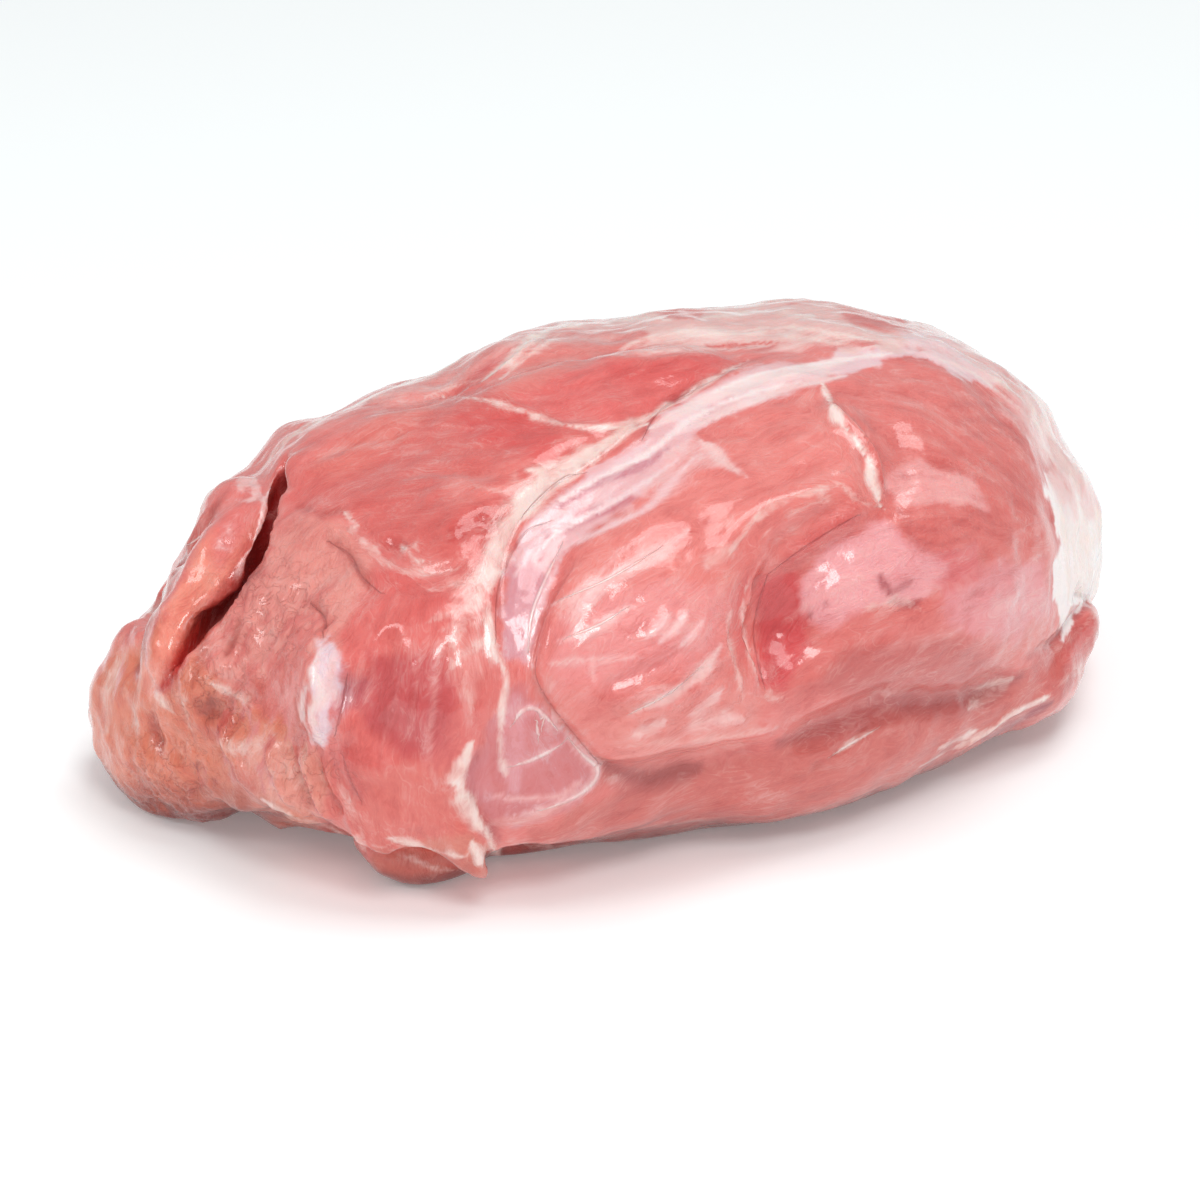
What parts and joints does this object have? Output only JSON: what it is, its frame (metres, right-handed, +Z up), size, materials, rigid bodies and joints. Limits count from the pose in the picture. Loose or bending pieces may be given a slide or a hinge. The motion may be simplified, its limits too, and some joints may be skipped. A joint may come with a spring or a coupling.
{
  "type": "skinless pork leg",
  "caption": "Boned and skinned raw leg of pork, a rounded block of muscles under pale membrane, with a deep slit at the cut end and a ragged flap, lying flat.",
  "frame": {"origin": "middle of the bounding box's bottom face, on the surface that the meat lies on", "axes": "+X along the leg to its round end, +Y to the far side, +Z up"},
  "size_m": [0.3034, 0.1974, 0.1176],
  "materials": {
    "pork_leg": "moist, soft gloss"
  },
  "bodies": {
    "root": {"pork_leg": "pork_leg"}
  },
  "joints": []
}
